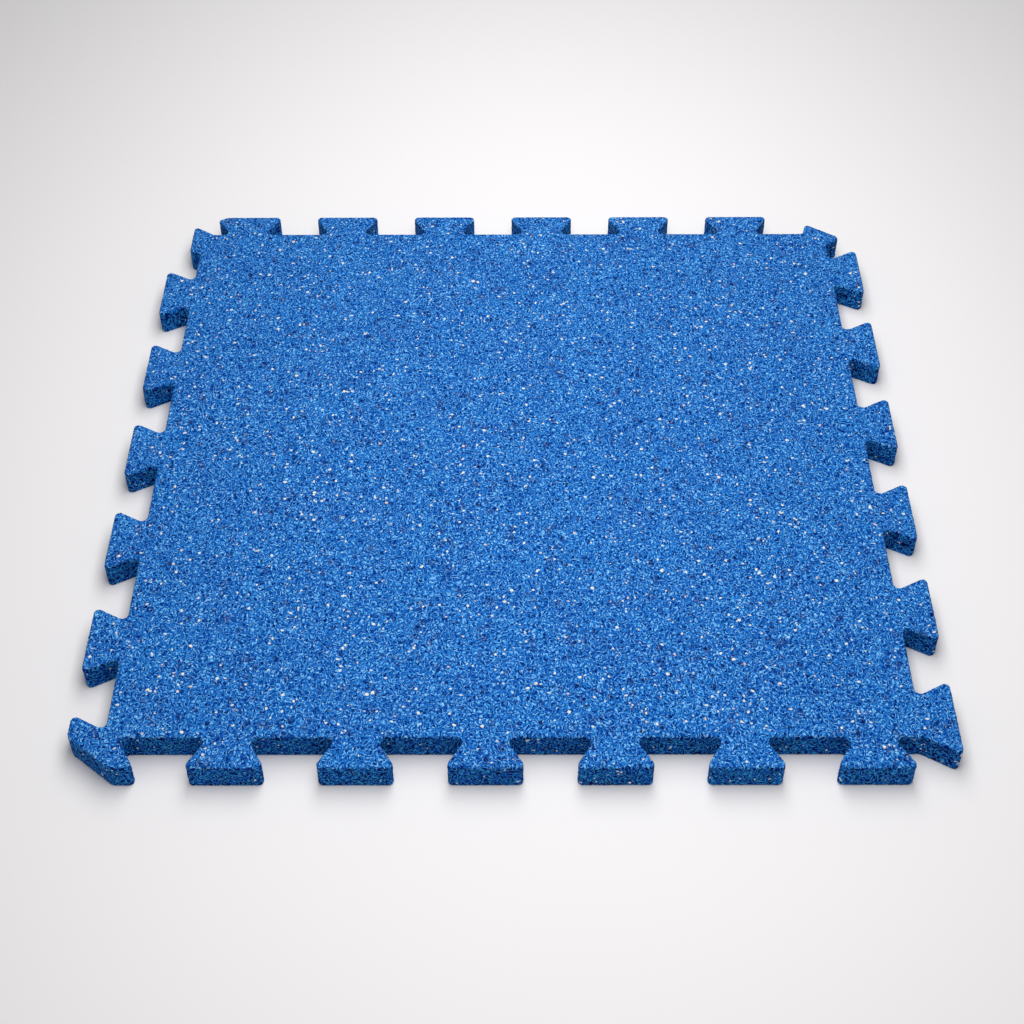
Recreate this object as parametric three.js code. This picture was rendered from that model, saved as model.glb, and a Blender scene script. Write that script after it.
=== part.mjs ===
// Interlocking rubber gym floor tile: one flat slab cut from bonded rubber granules, with dovetail tabs
// on all four edges and a part tab at each corner.
// Millimetres, +Z up. The underside lies on z = 0 and the square body is centred on the origin.
// The front edge faces -Y.

import * as THREE from "three";

// The slab: a square body, and tabs that stand out of its edges.
const BODY_SIDE = 583.5;
const THICKNESS = 22;
const TAB_DEPTH = 26.5;

// What a neighbour's tab leaves free, both flanks together.
const JOINT_CLEARANCE = 0.5;

// Front and back rows, measured from the body's left corner. The front row starts with the corner's
// part tab, and the back row is half a pitch away from it. A tab's neck fills what two heads of the
// row across leave open, so the wider heads at the back go with narrower necks at the front.
const ROW_PITCH = 92;
const FRONT_HEAD = 60;
const BACK_HEAD = 63;
const FRONT_NECK = ROW_PITCH - BACK_HEAD - JOINT_CLEARANCE;
const BACK_NECK = ROW_PITCH - FRONT_HEAD - JOINT_CLEARANCE;
const FRONT_CORNER_TAB = -4;
const FRONT_FIRST = FRONT_CORNER_TAB + ROW_PITCH;
const BACK_FIRST = FRONT_CORNER_TAB + ROW_PITCH / 2;
const FRONT_END_ROOM = 34;
const BACK_END_ROOM = 60;

// Left and right rows, measured from the body's front corner. Each row starts with the corner's
// part tab.
const SIDE_PITCH = 101.5;
const SIDE_HEAD = 65;
const SIDE_NECK = SIDE_PITCH - SIDE_HEAD - JOINT_CLEARANCE;
const LEFT_CORNER_TAB = -10.5;
const RIGHT_CORNER_TAB = 19;
const LEFT_FIRST = LEFT_CORNER_TAB + SIDE_PITCH;
const RIGHT_FIRST = RIGHT_CORNER_TAB + SIDE_PITCH;
const LEFT_END_ROOM = 68;
const RIGHT_END_ROOM = 56;

// Rounding of the outline where a tab's head, a tab's root and a part tab turn.
const HEAD_RADIUS = 4;
const ROOT_RADIUS = 4;
const CUT_RADIUS = 8;
const TIP_RADIUS = 3.5;
const ARC_DIVISIONS = 4;

// Front left corner: the next tab of the front row and of the left row, joined and cut off on a slant.
const SLANT_UP = 1;
const SLANT_ALONG = 7.4;

// Front right corner: the next tab of the right row, cut off on a slant from the body's corner.
const POINT_DROP = 15.6;

// Back right corner: a small slanted stub.
const STUB_BELOW = 17.5;
const STUB_NOSE_OUT = 13;
const STUB_NOSE_BELOW = 8.5;
const STUB_SHOULDER_OUT = 11;
const STUB_SHOULDER_BELOW = 3.8;
const STUB_PEAK_IN = 16.5;
const STUB_PEAK_UP = 15;
const STUB_ROOT_IN = 20;

// Back left corner: a narrow strip along the left edge with a slanted end.
const STRIP_WIDTH = 10;
const STRIP_BELOW = 27;
const STRIP_PEAK_UP = 13.5;
const STRIP_ROOT_IN = 10;

// The first back tab's outer corner is cut off.
const CHAMFER_ALONG = 9.5;
const CHAMFER_DOWN = 5;

const HALF = BODY_SIDE / 2;

// One corner of the outline before rounding, and the radius that rounds it.
const corner = (x, y, radius) => ({ x, y, radius });

// Each edge is walked with the body on the left. along starts at the edge's first corner, out points
// away from the body.
const onFront = (along, out, radius) => corner(-HALF + along, -HALF - out, radius);
const onRight = (along, out, radius) => corner(HALF + out, -HALF + along, radius);
const onBack = (along, out, radius) => corner(HALF - along, HALF + out, radius);
const onLeft = (along, out, radius) => corner(-HALF - out, HALF - along, radius);

// How many tabs a row holds between its first centre and the room kept free at its end.
function tabCount(first, pitch, endRoom) {
  return Math.max(1, Math.floor((BODY_SIDE - endRoom - first) / pitch) + 1);
}

// The four corners of one dovetail tab.
function tab(place, centre, neck, head) {
  return [
    place(centre - neck / 2, 0, ROOT_RADIUS),
    place(centre - head / 2, TAB_DEPTH, HEAD_RADIUS),
    place(centre + head / 2, TAB_DEPTH, HEAD_RADIUS),
    place(centre + neck / 2, 0, ROOT_RADIUS),
  ];
}

// A row of like tabs, in the order in which the outline meets them.
function tabRow(place, centres, neck, head) {
  return centres.flatMap((centre) => tab(place, centre, neck, head));
}

function centresFrom(first, pitch, count) {
  return Array.from({ length: count }, (_, index) => first + pitch * index);
}

// The same centres measured from the row's other end, so that the order turns round.
function fromOtherEnd(centres) {
  return centres.map((centre) => BODY_SIDE - centre).reverse();
}

function frontLeftCorner() {
  const leftCentre = BODY_SIDE - LEFT_CORNER_TAB;
  return [
    onLeft(leftCentre - SIDE_NECK / 2, 0, ROOT_RADIUS),
    onLeft(leftCentre - SIDE_HEAD / 2, TAB_DEPTH, HEAD_RADIUS),
    onLeft(BODY_SIDE - SLANT_UP, TAB_DEPTH, CUT_RADIUS),
    onFront(SLANT_ALONG, TAB_DEPTH, CUT_RADIUS),
    onFront(FRONT_CORNER_TAB + FRONT_HEAD / 2, TAB_DEPTH, HEAD_RADIUS),
    onFront(FRONT_CORNER_TAB + FRONT_NECK / 2, 0, ROOT_RADIUS),
  ];
}

function frontRightCorner() {
  return [
    onRight(0, 0, ROOT_RADIUS),
    onRight(-POINT_DROP, TAB_DEPTH, TIP_RADIUS),
    onRight(RIGHT_CORNER_TAB + SIDE_HEAD / 2, TAB_DEPTH, HEAD_RADIUS),
    onRight(RIGHT_CORNER_TAB + SIDE_NECK / 2, 0, ROOT_RADIUS),
  ];
}

function backRightCorner() {
  return [
    onRight(BODY_SIDE - STUB_BELOW, 0, TIP_RADIUS),
    onRight(BODY_SIDE - STUB_NOSE_BELOW, STUB_NOSE_OUT, TIP_RADIUS),
    onRight(BODY_SIDE - STUB_SHOULDER_BELOW, STUB_SHOULDER_OUT, TIP_RADIUS),
    onBack(STUB_PEAK_IN, STUB_PEAK_UP, TIP_RADIUS),
    onBack(STUB_ROOT_IN, 0, TIP_RADIUS),
  ];
}

function backLeftCorner() {
  return [
    onBack(BODY_SIDE - STRIP_ROOT_IN, 0, TIP_RADIUS),
    onLeft(-STRIP_PEAK_UP, STRIP_WIDTH, TIP_RADIUS),
    onLeft(STRIP_BELOW, STRIP_WIDTH, ROOT_RADIUS),
    onLeft(STRIP_BELOW, 0, TIP_RADIUS),
  ];
}

// The back row runs right to left. Its last tab, next to the back left corner, loses its outer corner.
function backRow() {
  const centres = fromOtherEnd(
    centresFrom(BACK_FIRST, ROW_PITCH, tabCount(BACK_FIRST, ROW_PITCH, BACK_END_ROOM)),
  );
  const last = centres[centres.length - 1];
  const headEnd = last + BACK_HEAD / 2;
  return [
    ...tabRow(onBack, centres.slice(0, -1), BACK_NECK, BACK_HEAD),
    onBack(last - BACK_NECK / 2, 0, ROOT_RADIUS),
    onBack(last - BACK_HEAD / 2, TAB_DEPTH, HEAD_RADIUS),
    onBack(headEnd - CHAMFER_ALONG, TAB_DEPTH, TIP_RADIUS),
    onBack(headEnd, TAB_DEPTH - CHAMFER_DOWN, TIP_RADIUS),
    onBack(last + BACK_NECK / 2, 0, ROOT_RADIUS),
  ];
}

// Joins the corners into one closed outline, each corner rounded by its own radius.
function roundedOutline(corners) {
  const shape = new THREE.Shape();
  corners.forEach((here, index) => {
    const before = corners.at(index - 1);
    const after = corners[(index + 1) % corners.length];
    const point = new THREE.Vector2(here.x, here.y);
    const back = new THREE.Vector2(before.x, before.y).sub(point).normalize();
    const ahead = new THREE.Vector2(after.x, after.y).sub(point).normalize();
    const halfAngle = Math.acos(back.dot(ahead)) / 2;
    const start = point.clone().addScaledVector(back, here.radius / Math.tan(halfAngle));
    const middle = back.clone().add(ahead).normalize();
    const centre = point.clone().addScaledVector(middle, here.radius / Math.sin(halfAngle));
    const end = point.clone().addScaledVector(ahead, here.radius / Math.tan(halfAngle));
    const turnsLeft = back.cross(ahead) < 0;
    if (index === 0) shape.moveTo(start.x, start.y);
    else shape.lineTo(start.x, start.y);
    shape.absarc(
      centre.x,
      centre.y,
      here.radius,
      Math.atan2(start.y - centre.y, start.x - centre.x),
      Math.atan2(end.y - centre.y, end.x - centre.x),
      !turnsLeft,
    );
  });
  shape.closePath();
  return shape;
}

const outline = roundedOutline([
  ...frontLeftCorner(),
  ...tabRow(
    onFront,
    centresFrom(FRONT_FIRST, ROW_PITCH, tabCount(FRONT_FIRST, ROW_PITCH, FRONT_END_ROOM)),
    FRONT_NECK,
    FRONT_HEAD,
  ),
  ...frontRightCorner(),
  ...tabRow(
    onRight,
    centresFrom(RIGHT_FIRST, SIDE_PITCH, tabCount(RIGHT_FIRST, SIDE_PITCH, RIGHT_END_ROOM)),
    SIDE_NECK,
    SIDE_HEAD,
  ),
  ...backRightCorner(),
  ...backRow(),
  ...backLeftCorner(),
  ...tabRow(
    onLeft,
    fromOtherEnd(
      centresFrom(LEFT_FIRST, SIDE_PITCH, tabCount(LEFT_FIRST, SIDE_PITCH, LEFT_END_ROOM)),
    ),
    SIDE_NECK,
    SIDE_HEAD,
  ),
]);

const slab = new THREE.ExtrudeGeometry(outline, {
  depth: THICKNESS,
  bevelEnabled: false,
  curveSegments: ARC_DIVISIONS,
});

const blueRubber = new THREE.MeshStandardMaterial({
  color: new THREE.Color("#326fbb"),
  roughness: 0.92,
  metalness: 0,
});

const tile = new THREE.Mesh(slab, blueRubber);
tile.name = "tile";

const gymFloorTile = new THREE.Group();
gymFloorTile.name = "gym_floor_tile";
gymFloorTile.add(tile);

export default gymFloorTile;
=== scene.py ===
"""Interlocking gym floor tile of bonded blue rubber granules, lying on a pale studio floor."""

import math
import random

import bpy
import numpy as np
from mathutils import Matrix, Vector, geometry, noise


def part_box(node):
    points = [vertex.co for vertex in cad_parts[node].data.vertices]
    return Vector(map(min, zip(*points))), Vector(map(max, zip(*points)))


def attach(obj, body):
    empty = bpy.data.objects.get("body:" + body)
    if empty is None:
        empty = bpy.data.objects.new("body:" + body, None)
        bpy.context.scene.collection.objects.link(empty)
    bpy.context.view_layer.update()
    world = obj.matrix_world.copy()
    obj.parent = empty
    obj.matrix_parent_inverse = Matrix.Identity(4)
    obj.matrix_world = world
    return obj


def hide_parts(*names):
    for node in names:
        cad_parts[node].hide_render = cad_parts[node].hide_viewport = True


MM = 0.001
SEED = 4711

# Camera, fitted to the tile's outline in the photograph: lens in pixels of a 1024 pixel wide frame,
# place in metres, turn in degrees.
FRAME_PIXELS = 1024
SENSOR_WIDTH = 36.0
FOCAL_PIXELS = 1748.6
CAMERA_PLACE = (0.0025, -1.0337, 1.0306)
CAMERA_DOWN = 46.323
CAMERA_YAW = -0.222
CAMERA_ROLL = 0.242

# Surface of the slab, in metres. Granules stand out of it by up to GRANULE_RISE, as far as the
# tile's own box reaches.
GRANULE_RISE = 0.22 * MM
OUTLINE_STEP = 1.35 * MM
TOP_GRID = 4.0 * MM
UNDER_GRID = 16.0 * MM
CELL = 2.6 * MM
WALL_RELIEF = 0.34 * MM
TOP_RELIEF = 0.10 * MM

# Cross-section of the wall from the underside up: how far each row stands in from the outline, and
# its height above the underside or below the top.
LOWER_EDGE = ((1.1 * MM, 0.0), (0.38 * MM, 0.24 * MM), (0.06 * MM, 0.9 * MM))
UPPER_EDGE = ((0.05 * MM, 1.6 * MM), (0.3 * MM, 0.85 * MM), (0.85 * MM, 0.28 * MM), (1.7 * MM, 0.0))
WALL_ROWS = 10

# Flecks: cream and black granules per square metre of surface, and their lengths.
CREAM_DENSITY = 4800
BLACK_DENSITY = 380
FLECK_LENGTHS = (1.5 * MM, 4.6 * MM)
FLECK_SIDES = 7
FLECK_WIDTH_SHARES = (0.5, 0.95)
FLECK_REACH_SHARES = (0.72, 1.1)
FLECK_RISE_SHARES = (0.5, 0.95)
FLECK_SHOULDER = 0.7
FLECK_SHOULDER_RISE = 0.75
FLECK_TINT_SCALE = 140.0

# Strokes of the rubber's pattern: their spacing and bend, and how far the pattern is drawn out
# along Y. The scales are in cells per metre.
# The strokes' light parts are partly painted sheen and their dark parts partly painted shade in the
# hollows between granules.
PATTERN_STRETCH = (1.0, 0.82, 1.0)
STROKE_PERIOD = 2.2 * MM
STROKE_BEND = 0.8
GRANULE_SCALE = 230.0
WARP_SCALE = 450.0
WARP_REACH = 1.2 * MM
BREAK_SCALE = 550.0
GRAIN_SCALE = 900.0
PATCH_SCALE = 24.0

# How dark or light the rubber is, from 0 to 1: its middle, and what each part of the pattern adds.
MIDDLE_SHADE = 0.46
STROKE_SHARE = 0.43
# Extra stroke strength on the walls: partly the rougher cut face, partly painted shade in its deeper
# crevices.
CUT_FACE_STROKE_AND_CREVICE_SHADE_SHARE = 0.95
TONE_SHARE = 0.04
GRAIN_SHARE = 0.8

# Colours, 0 to 255, for shades from dark to light, and the tints that multiply them.
# The lightest shades are partly painted sheen and the darkest partly painted shade in the hollows.
RUBBER_SHADES = (
    (0.0, (1, 24, 80)),
    (0.25, (6, 61, 140)),
    (0.42, (17, 89, 173)),
    (0.55, (33, 112, 192)),
    (0.72, (64, 146, 213)),
    (1.0, (142, 196, 230)),
)
PATCH_TINT = (255, 247, 250)
VIOLET_TINT = (255, 206, 212)
# Cut-face tint: partly the deeper colour of faces cut through the granules, partly painted shade that
# darkens the walls, which the overhead softbox lights less than the top.
CUT_FACE_AND_PAINTED_SHADE_TINT = (94, 186, 226)

# Studio: a long softbox over the tile, in metres and watts, and a faint even light all round.
FLOOR_SIDE = 40.0
SOFTBOX_OVER = (0.04, 0.09)
SOFTBOX_HEIGHT = 0.84
SOFTBOX_SIZE = (0.5, 1.6)
SOFTBOX_POWER = 10.2
SURROUND_STRENGTH = 0.38


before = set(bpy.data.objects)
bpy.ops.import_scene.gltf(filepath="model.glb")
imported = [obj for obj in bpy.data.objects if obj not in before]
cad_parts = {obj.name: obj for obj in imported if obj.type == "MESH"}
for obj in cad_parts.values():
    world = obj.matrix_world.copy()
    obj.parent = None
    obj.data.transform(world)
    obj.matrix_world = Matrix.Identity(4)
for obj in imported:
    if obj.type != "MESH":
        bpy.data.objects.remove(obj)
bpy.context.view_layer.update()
tile_low, tile_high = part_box("tile")
THICKNESS = tile_high[2] - tile_low[2]
UNDER_LEVEL = GRANULE_RISE
TOP_LEVEL = THICKNESS - GRANULE_RISE


# Plan outline of the frame's tile


def top_outline(node):
    """The closed outline of the node's top face, counter-clockwise, as an array of (x, y)."""
    mesh = node.data
    level = max(v.co.z for v in mesh.vertices)
    keys = [(round(v.co.x, 6), round(v.co.y, 6)) for v in mesh.vertices]
    ahead = {}
    for face in mesh.polygons:
        if face.normal.z < 0.9 or abs(face.center.z - level) > 1e-5:
            continue
        corners = [keys[i] for i in face.vertices]
        for here, there in zip(corners, corners[1:] + corners[:1]):
            if (there, here) in ahead:
                del ahead[(there, here)]
            else:
                ahead[(here, there)] = True
    following = {here: there for here, there in ahead}
    start = min(following)
    loop = [start]
    while following[loop[-1]] != start:
        loop.append(following[loop[-1]])
    return np.array(loop)


def resampled(loop, step):
    """The same closed outline with a point at least every step."""
    points = []
    for here, there in zip(loop, np.roll(loop, -1, axis=0)):
        pieces = max(1, math.ceil(np.linalg.norm(there - here) / step))
        points.extend(here + (there - here) * k / pieces for k in range(pieces))
    return np.array(points)


def outward(loop):
    """Unit normals of a counter-clockwise loop, pointing away from the body."""
    along = np.roll(loop, -1, axis=0) - loop
    along /= np.linalg.norm(along, axis=1)[:, None]
    mean = along + np.roll(along, 1, axis=0)
    mean /= np.linalg.norm(mean, axis=1)[:, None]
    return np.c_[mean[:, 1], -mean[:, 0]]


def inside(points, loop):
    """True for each point that lies within the loop, by counting the edges that a ray crosses."""
    x, y = points[:, 0], points[:, 1]
    result = np.zeros(len(points), bool)
    for (x1, y1), (x2, y2) in zip(loop, np.roll(loop, -1, axis=0)):
        if y1 == y2:
            continue
        crosses = (y1 > y) != (y2 > y)
        result ^= crosses & (x < (x2 - x1) * (y - y1) / (y2 - y1) + x1)
    return result


def distance_to(points, loop):
    """Rough distance from each point to the nearest point of a finely stepped loop."""
    nearest = np.full(len(points), np.inf)
    for start in range(0, len(loop), 256):
        part = loop[start : start + 256]
        gap = np.linalg.norm(points[:, None, :] - part[None, :, :], axis=2)
        nearest = np.minimum(nearest, gap.min(axis=1))
    return nearest


# Granular slab


def crevice(point):
    """0 on the crown of a granule and 1 in the gaps between granules."""
    first, second = noise.voronoi(point / CELL)[0][:2]
    return max(0.0, 1.0 - (second - first) * 2.2)


def filled(loop, level, grid, relief):
    """Vertices and triangles of a flat face within the loop, on a grid, sunk by up to relief."""
    low, high = loop.min(axis=0), loop.max(axis=0)
    xs = np.arange(low[0], high[0], grid)
    ys = np.arange(low[1], high[1], grid)
    spots = np.stack(np.meshgrid(xs, ys), axis=-1).reshape(-1, 2)
    rng = np.random.default_rng(SEED)
    spots = spots + rng.uniform(-0.3, 0.3, spots.shape) * grid
    spots = spots[inside(spots, loop)]
    spots = spots[distance_to(spots, loop) > 0.55 * grid]
    flat = [Vector(p) for p in loop] + [Vector(p) for p in spots]
    ring = [(k, (k + 1) % len(loop)) for k in range(len(loop))]
    made = geometry.delaunay_2d_cdt(flat, ring, [], 1, 1e-9)
    coords, faces, origins = made[0], made[2], made[3]
    order = [o[0] for o in origins]
    if len(coords) != len(flat):
        raise RuntimeError("the outline crosses itself")
    depth = [0.0] * len(flat)
    if relief:
        for k in range(len(loop), len(flat)):
            depth[k] = relief * crevice(Vector((*flat[k], level)))
    vertices = [(p.x, p.y, level - depth[k]) for k, p in enumerate(flat)]
    triangles = [[order[i] for i in face] for face in faces]
    return vertices, triangles


def slab_mesh(outline):
    """Underside, wall and top of the slab as one closed mesh."""
    normals = outward(outline)
    lower = [(inset, UNDER_LEVEL + z) for inset, z in LOWER_EDGE]
    upper = [(inset, TOP_LEVEL - z) for inset, z in UPPER_EDGE]
    between = np.linspace(lower[-1][1], upper[0][1], WALL_ROWS + 2)[1:-1]
    rows = lower + [(0.0, z) for z in between] + upper
    count = len(outline)
    vertices, faces = [], []
    for number, (inset, z) in enumerate(rows):
        at_cap = number in (0, len(rows) - 1)
        for (x, y), (nx, ny) in zip(outline, normals):
            sunk = 0.0 if at_cap else WALL_RELIEF * crevice(Vector((x, y, z)))
            vertices.append((x - nx * (inset + sunk), y - ny * (inset + sunk), z))
    for row in range(len(rows) - 1):
        base = row * count
        for k in range(count):
            after = (k + 1) % count
            faces.append((base + k, base + after, base + count + after, base + count + k))
    for row, grid, relief, turned in (
        (0, UNDER_GRID, 0.0, True),
        (len(rows) - 1, TOP_GRID, TOP_RELIEF, False),
    ):
        base = row * count
        ring = np.array([v[:2] for v in vertices[base : base + count]])
        made, triangles = filled(ring, rows[row][1], grid, relief)
        moved = [base + k for k in range(count)]
        moved += [len(vertices) + k for k in range(len(made) - count)]
        vertices.extend(made[count:])
        for triangle in triangles:
            a, b, c = (moved[i] for i in triangle)
            pa, pb, pc = (vertices[i] for i in (a, b, c))
            turn = (pb[0] - pa[0]) * (pc[1] - pa[1]) - (pb[1] - pa[1]) * (pc[0] - pa[0])
            if (turn < 0) != turned:
                b, c = c, b
            faces.append((a, b, c))
    return vertices, faces


def add_piece(name, vertices, faces, material):
    mesh = bpy.data.meshes.new(name)
    mesh.from_pydata(vertices, [], faces)
    mesh.validate()
    mesh.shade_smooth()
    mesh.materials.append(material)
    piece = bpy.data.objects.new(name, mesh)
    bpy.context.scene.collection.objects.link(piece)
    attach(piece, "root")
    return piece


# Flecks of other colours


def fleck(rng, spot, along, across, out):
    """One angular granule set into the surface: a low crown, a shoulder ring and a sunk ring."""
    length = rng.triangular(*FLECK_LENGTHS, FLECK_LENGTHS[0] * 1.5) / 2
    width = length * rng.uniform(*FLECK_WIDTH_SHARES)
    turn = rng.uniform(0, math.tau)
    angles = [
        (k + rng.uniform(-0.3, 0.3)) * math.tau / FLECK_SIDES for k in range(FLECK_SIDES)
    ]
    reach = [rng.uniform(*FLECK_REACH_SHARES) for _ in angles]
    rise = GRANULE_RISE * rng.uniform(*FLECK_RISE_SHARES)

    def place(share, angle, scale, height):
        u = math.cos(angle) * length * share * scale
        v = math.sin(angle) * width * share * scale
        u, v = u * math.cos(turn) - v * math.sin(turn), u * math.sin(turn) + v * math.cos(turn)
        return spot + along * u + across * v + out * height

    vertices = [spot + out * rise]
    shoulder = rise * FLECK_SHOULDER_RISE
    vertices += [place(FLECK_SHOULDER, a, s, shoulder) for a, s in zip(angles, reach)]
    vertices += [place(1.0, a, s, -GRANULE_RISE) for a, s in zip(angles, reach)]
    faces = []
    for k in range(FLECK_SIDES):
        after = (k + 1) % FLECK_SIDES
        faces.append((0, 1 + k, 1 + after))
        faces.append((1 + k, 1 + FLECK_SIDES + k, 1 + FLECK_SIDES + after, 1 + after))
    return vertices, faces


def fleck_places(rng, outline, density):
    """Spots on the top, underside and wall, each with two directions along the surface and one out."""
    normals = outward(outline)
    x_axis, y_axis, z_axis = (Vector(v) for v in ((1, 0, 0), (0, 1, 0), (0, 0, 1)))
    low, high = outline.min(axis=0), outline.max(axis=0)
    count = int(density * np.prod(high - low))
    for level, out, across in ((TOP_LEVEL, z_axis, y_axis), (UNDER_LEVEL, -z_axis, -y_axis)):
        spots = np.array([[rng.uniform(low[i], high[i]) for i in (0, 1)] for _ in range(count)])
        spots = spots[inside(spots, outline)]
        spots = spots[distance_to(spots, outline) > FLECK_LENGTHS[1] * 0.75]
        for x, y in spots:
            yield Vector((x, y, level)), x_axis, across, out
    steps = np.linalg.norm(np.roll(outline, -1, axis=0) - outline, axis=1)
    for _ in range(int(density * steps.sum() * THICKNESS)):
        k = rng.randrange(len(outline))
        nx, ny = normals[k]
        out = Vector((nx, ny, 0))
        z = rng.uniform(FLECK_LENGTHS[1] * 0.6, THICKNESS - FLECK_LENGTHS[1] * 0.6)
        x, y = outline[k] - normals[k] * GRANULE_RISE * 1.3
        yield Vector((x, y, z)), z_axis.cross(out), z_axis, out


def fleck_piece(name, outline, density, material, seed):
    rng = random.Random(seed)
    vertices, faces = [], []
    for spot, along, across, out in fleck_places(rng, outline, density):
        made, sides = fleck(rng, spot, along, across, out)
        base = len(vertices)
        vertices.extend(tuple(v) for v in made)
        faces.extend(tuple(base + i for i in side) for side in sides)
    return add_piece(name, vertices, faces, material)


# Materials


class Recipe:
    """A material's node tree, written as calls that return sockets."""

    def __init__(self, name):
        self.material = bpy.data.materials.new(name)
        self.material.use_nodes = True
        self.tree = self.material.node_tree
        self.shader = self.tree.nodes["Principled BSDF"]
        self.place = self.tree.nodes.new("ShaderNodeTexCoord").outputs["Object"]

    def put(self, socket, value):
        if isinstance(value, bpy.types.NodeSocket):
            self.tree.links.new(value, socket)
        else:
            socket.default_value = value

    def node(self, kind, **inputs):
        made = self.tree.nodes.new(kind)
        for name, value in inputs.items():
            self.put(made.inputs[name], value)
        return made

    def stretch(self, shares):
        self.place = self.vector("MULTIPLY", self.place, shares)

    def warp(self, scale, reach):
        """From here on, patterns are read from places shifted by a noise of that scale and reach."""
        drift = self.node("ShaderNodeTexNoise", Scale=scale, Detail=0.0, Vector=self.place)
        centred = self.vector("SUBTRACT", drift.outputs["Color"], (0.5, 0.5, 0.5))
        self.place = self.moved(self.vector("MULTIPLY", centred, (reach * 2,) * 3))

    def moved(self, offset):
        return self.vector("ADD", self.place, offset)

    def noise(self, scale, detail=0.0, offset=None):
        made = self.node("ShaderNodeTexNoise", Scale=scale, Detail=detail)
        self.put(made.inputs["Vector"], self.moved(offset) if offset else self.place)
        return made.outputs["Fac"]

    def vector(self, operation, first, second=None):
        made = self.node("ShaderNodeVectorMath")
        made.operation = operation
        self.put(made.inputs[0], first)
        if second is not None:
            self.put(made.inputs[1], second)
        return made.outputs["Value" if operation == "DOT_PRODUCT" else "Vector"]

    def wall_share(self):
        """1 on the cut faces round the tile and 0 on its top and underside."""
        facing = self.tree.nodes.new("ShaderNodeTexCoord").outputs["Normal"]
        upright = self.math("ABSOLUTE", self.vector("DOT_PRODUCT", facing, (0.0, 0.0, 1.0)))
        return self.spread(upright, 0.75, 0.3)

    def strokes(self, scale, period, bend):
        """Stripes from -1 to 1, one direction in each granule and bent about its middle.

        Two random numbers per granule come with them.
        """
        cells = self.node("ShaderNodeTexVoronoi", Scale=scale, Vector=self.place)
        centred = self.vector("SUBTRACT", cells.outputs["Color"], (0.5, 0.5, 0.5))
        along = self.vector("DOT_PRODUCT", self.place, self.vector("NORMALIZE", centred))
        turns = self.math("MULTIPLY", along, math.tau / period)
        curl = math.tau * bend / (scale * period)
        turns = self.math("MULTIPLY_ADD", cells.outputs["Distance"], curl, turns)
        parts = self.node("ShaderNodeSeparateColor", Color=cells.outputs["Color"]).outputs
        return self.math("SINE", turns), parts[1], parts[2]

    def math(self, operation, *values):
        made = self.node("ShaderNodeMath")
        made.operation = operation
        for socket, value in zip(made.inputs, values):
            self.put(socket, value)
        return made.outputs[0]

    def spread(self, value, low, high, to_low=0.0, to_high=1.0):
        made = self.node("ShaderNodeMapRange")
        made.interpolation_type = "SMOOTHSTEP"
        for socket, given in zip(made.inputs, (value, low, high, to_low, to_high)):
            self.put(socket, given)
        return made.outputs[0]

    def mix(self, share, first, second, blend="MIX"):
        made = self.node("ShaderNodeMix")
        made.data_type = "RGBA"
        made.blend_type = blend
        self.put(made.inputs[0], share)
        self.put(made.inputs[6], first)
        self.put(made.inputs[7], second)
        return made.outputs[2]

    def ramp(self, value, stops):
        made = self.node("ShaderNodeValToRGB", Fac=value)
        elements = made.color_ramp.elements
        while len(elements) < len(stops):
            elements.new(0.5)
        for element, (position, colour) in zip(elements, stops):
            element.position = position
            element.color = linear(*colour)
        return made.outputs[0]

    def bump(self, height, strength, distance):
        made = self.node("ShaderNodeBump", Strength=strength, Distance=distance, Height=height)
        self.put(self.shader.inputs["Normal"], made.outputs[0])


def linear(red, green, blue):
    """A colour given as it looks on screen, 0 to 255, in the shader's linear values."""

    def channel(value):
        value /= 255
        return value / 12.92 if value <= 0.04045 else ((value + 0.055) / 1.055) ** 2.4

    return (channel(red), channel(green), channel(blue), 1.0)


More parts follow.
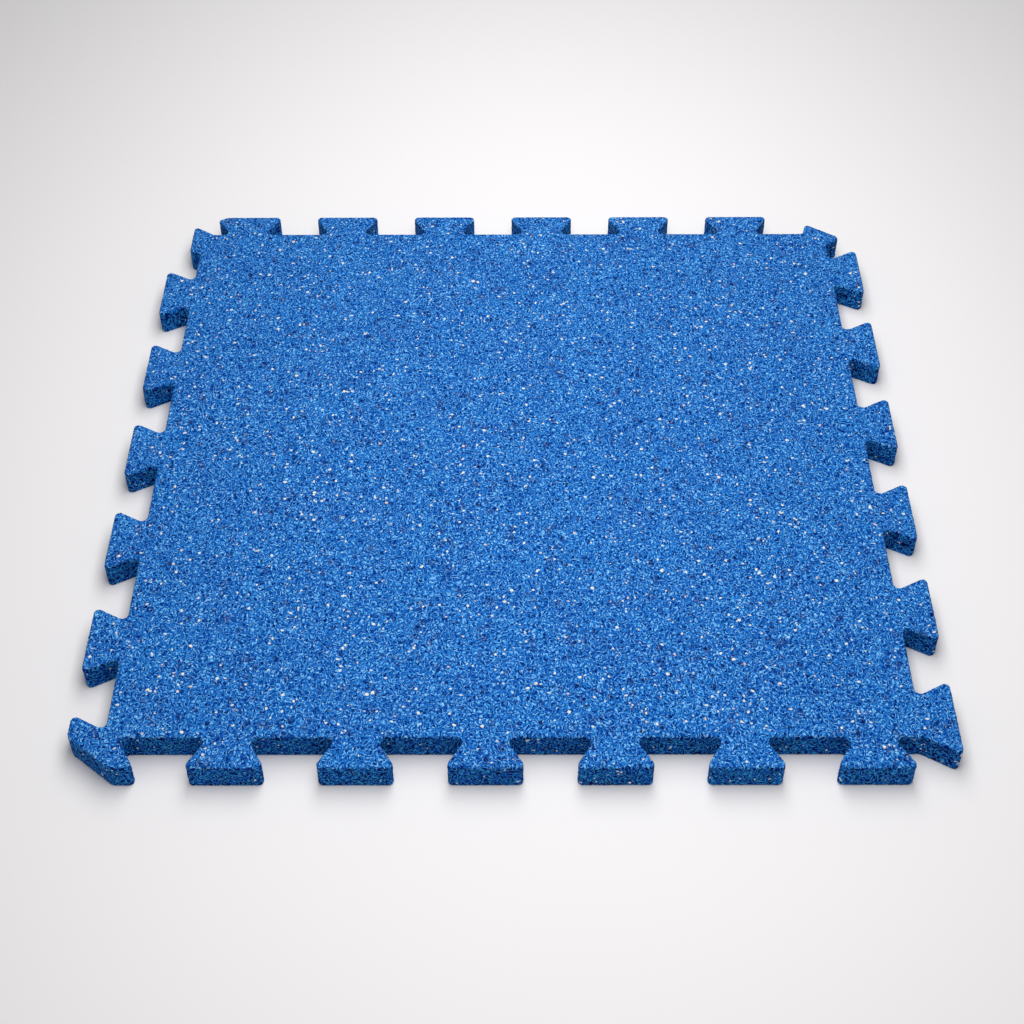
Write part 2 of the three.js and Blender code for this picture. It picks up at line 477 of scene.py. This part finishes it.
def bonded_rubber():
    """Blue granules pressed together: short curled strokes that turn another way in each granule.
    Their light parts are partly painted sheen and their dark parts partly painted shade in the
    hollows, and the walls get painted shade.
    """
    recipe = Recipe("bonded_blue_rubber")
    recipe.stretch(PATTERN_STRETCH)
    patches = recipe.spread(recipe.noise(PATCH_SCALE, 1.0, (0.3, 5.2, 1.1)), 0.35, 0.65)
    walls_mask = recipe.wall_share()
    recipe.warp(WARP_SCALE, WARP_REACH)
    stroke, tone, pick = recipe.strokes(GRANULE_SCALE, STROKE_PERIOD, STROKE_BEND)
    gaps = recipe.noise(BREAK_SCALE, 0.5, (1.1, 2.3, 3.7))
    broken = recipe.spread(gaps, 0.38, 0.58, 0.1, 1.0)
    stroke = recipe.math("MULTIPLY", stroke, broken)
    # The walls' stronger strokes are partly painted shade in their deeper crevices.
    strength = recipe.math("MULTIPLY_ADD", walls_mask, CUT_FACE_STROKE_AND_CREVICE_SHADE_SHARE, STROKE_SHARE)
    shade = recipe.math("MULTIPLY_ADD", stroke, strength, MIDDLE_SHADE)
    centred = recipe.math("SUBTRACT", tone, 0.5)
    shade = recipe.math("MULTIPLY_ADD", centred, TONE_SHARE, shade)
    grain = recipe.noise(GRAIN_SCALE, 0.5, (0.7, 8.3, 5.7))
    centred = recipe.math("SUBTRACT", grain, 0.5)
    shade = recipe.math("MULTIPLY_ADD", centred, GRAIN_SHARE, shade)
    colour = recipe.ramp(shade, RUBBER_SHADES)
    tinted = recipe.mix(1.0, colour, linear(*PATCH_TINT), "MULTIPLY")
    colour = recipe.mix(patches, colour, tinted)
    violet = recipe.mix(1.0, colour, linear(*VIOLET_TINT), "MULTIPLY")
    colour = recipe.mix(recipe.spread(pick, 0.9, 1.0), colour, violet)
    # Painted shade on the walls: the colour is multiplied by the cut-face tint, partly cut-face colour
    # and partly shade from the overhead light.
    wall_painted_shade = recipe.mix(1.0, colour, linear(*CUT_FACE_AND_PAINTED_SHADE_TINT), "MULTIPLY")
    recipe.put(recipe.shader.inputs["Base Color"], recipe.mix(walls_mask, colour, wall_painted_shade))
    recipe.put(recipe.shader.inputs["Roughness"], recipe.spread(tone, 0.0, 1.0, 0.82, 0.94))
    recipe.shader.inputs["Specular IOR Level"].default_value = 0.06
    recipe.bump(stroke, 0.3, 0.3 * MM)
    return recipe.material


def fleck_rubber(name, main, other, pale):
    """Granules of another colour, some of them tinted."""
    recipe = Recipe(name)
    cells = recipe.node("ShaderNodeTexVoronoi", Scale=FLECK_TINT_SCALE, Vector=recipe.place)
    pick = recipe.node("ShaderNodeSeparateColor", Color=cells.outputs["Color"])
    colour = recipe.mix(recipe.spread(pick.outputs[0], 0.55, 1.0), main, other)
    colour = recipe.mix(recipe.spread(recipe.noise(700.0, 1.0), 0.35, 0.7), colour, pale)
    recipe.put(recipe.shader.inputs["Base Color"], colour)
    roughness = recipe.spread(recipe.noise(500.0), 0.3, 0.7, 0.7, 0.9)
    recipe.put(recipe.shader.inputs["Roughness"], roughness)
    recipe.shader.inputs["Specular IOR Level"].default_value = 0.3
    recipe.bump(recipe.noise(900.0, 2.0), 0.4, 0.2 * MM)
    return recipe.material


def pale_floor():
    recipe = Recipe("pale_floor")
    colour = recipe.mix(recipe.noise(3.0, 2.0), linear(230, 228, 229), linear(232, 230, 231))
    recipe.put(recipe.shader.inputs["Base Color"], colour)
    roughness = recipe.spread(recipe.noise(8.0), 0.0, 1.0, 0.9, 0.95)
    recipe.put(recipe.shader.inputs["Roughness"], roughness)
    return recipe.material


# The tile

outline = resampled(top_outline(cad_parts["tile"]), OUTLINE_STEP)
slab = add_piece("granulated_slab", *slab_mesh(outline), bonded_rubber())
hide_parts("tile")
fleck_piece(
    "cream_granules",
    outline,
    CREAM_DENSITY,
    fleck_rubber(
        "cream_rubber", linear(208, 210, 204), linear(202, 166, 146), linear(224, 227, 222)
    ),
    SEED + 1,
)
fleck_piece(
    "black_granules",
    outline,
    BLACK_DENSITY,
    fleck_rubber("black_rubber", linear(14, 20, 30), linear(20, 24, 26), linear(34, 44, 60)),
    SEED + 2,
)


# Studio

bpy.ops.mesh.primitive_plane_add(size=FLOOR_SIDE, location=(0, 0, 0))
floor = bpy.context.object
floor.name = "studio_floor"
floor.data.materials.append(pale_floor())


def area_light(name, place, target, size, power):
    data = bpy.data.lights.new(name, "AREA")
    data.shape = "RECTANGLE"
    data.size, data.size_y = size
    data.energy = power
    light = bpy.data.objects.new(name, data)
    light.location = place
    light.rotation_euler = (Vector(target) - Vector(place)).to_track_quat("-Z", "Y").to_euler()
    bpy.context.scene.collection.objects.link(light)


area_light(
    "overhead_softbox",
    (*SOFTBOX_OVER, SOFTBOX_HEIGHT),
    (*SOFTBOX_OVER, 0.0),
    SOFTBOX_SIZE,
    SOFTBOX_POWER,
)

world = bpy.data.worlds.new("studio")
world.use_nodes = True
world.node_tree.nodes["Background"].inputs["Color"].default_value = (1.0, 1.0, 1.0, 1.0)
world.node_tree.nodes["Background"].inputs["Strength"].default_value = SURROUND_STRENGTH
bpy.context.scene.world = world


def camera_matrix(place, down, yaw, roll):
    """The camera's place and turn: it looks along +Y, tipped down, turned by yaw and rolled."""
    down, yaw, roll = (math.radians(angle) for angle in (down, yaw, roll))
    forward = Vector((math.sin(yaw) * math.cos(down), math.cos(yaw) * math.cos(down), -math.sin(down)))
    level_right = Vector((math.cos(yaw), -math.sin(yaw), 0))
    level_down = forward.cross(level_right)
    right = level_right * math.cos(roll) + level_down * math.sin(roll)
    lower = level_down * math.cos(roll) - level_right * math.sin(roll)
    turn = Matrix((right, -lower, -forward)).transposed()
    return Matrix.Translation(place) @ turn.to_4x4()


camera = bpy.data.objects.new("camera", bpy.data.cameras.new("camera"))
camera.data.sensor_width = SENSOR_WIDTH
camera.data.lens = FOCAL_PIXELS / FRAME_PIXELS * SENSOR_WIDTH
camera.matrix_world = camera_matrix(CAMERA_PLACE, CAMERA_DOWN, CAMERA_YAW, CAMERA_ROLL)
bpy.context.scene.collection.objects.link(camera)
bpy.context.scene.camera = camera
bpy.context.scene.view_settings.view_transform = "Standard"
